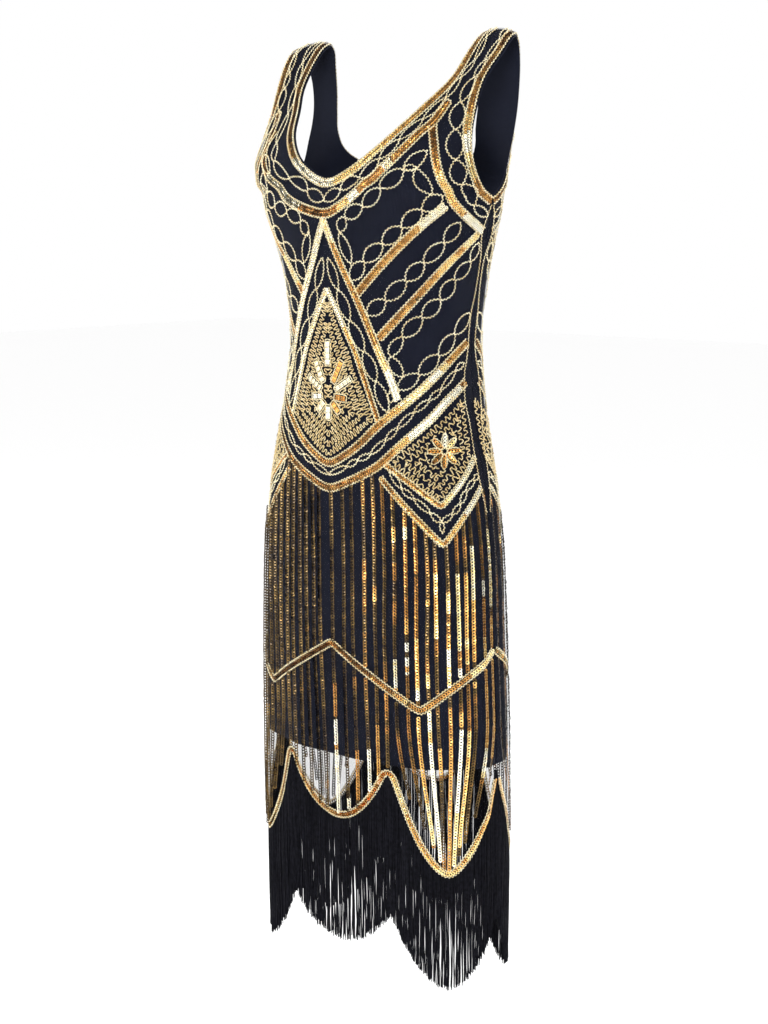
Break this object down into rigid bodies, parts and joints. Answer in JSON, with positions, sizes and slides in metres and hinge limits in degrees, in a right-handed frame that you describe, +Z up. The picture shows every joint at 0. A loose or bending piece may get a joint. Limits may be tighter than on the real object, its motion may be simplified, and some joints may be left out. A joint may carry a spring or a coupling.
{
  "type": "sleeveless flapper dress",
  "caption": "Knee-length sleeveless sheath dress with a V neck, a scalloped hem and a fringe, hollow as worn.",
  "frame": {"origin": "midway between the two strap tops, at shoulder height, where the wearer's shoulders hold the dress", "axes": "+Z up along the dress, -Y out of the front, +X to the wearer's left"},
  "size_m": [0.33, 0.1892, 1.0674],
  "materials": {
    "outer_net": "satin",
    "lining_knit": "matte",
    "fringe_yarn": "matte",
    "gold_sequins": "gloss",
    "gold_beads": "gloss"
  },
  "bodies": {
    "root": {"front_panel": "outer_net", "back_panel": "outer_net", "front_lining": "lining_knit", "back_lining": "lining_knit", "front_fringe": "fringe_yarn", "back_fringe": "fringe_yarn"}
  },
  "joints": []
}
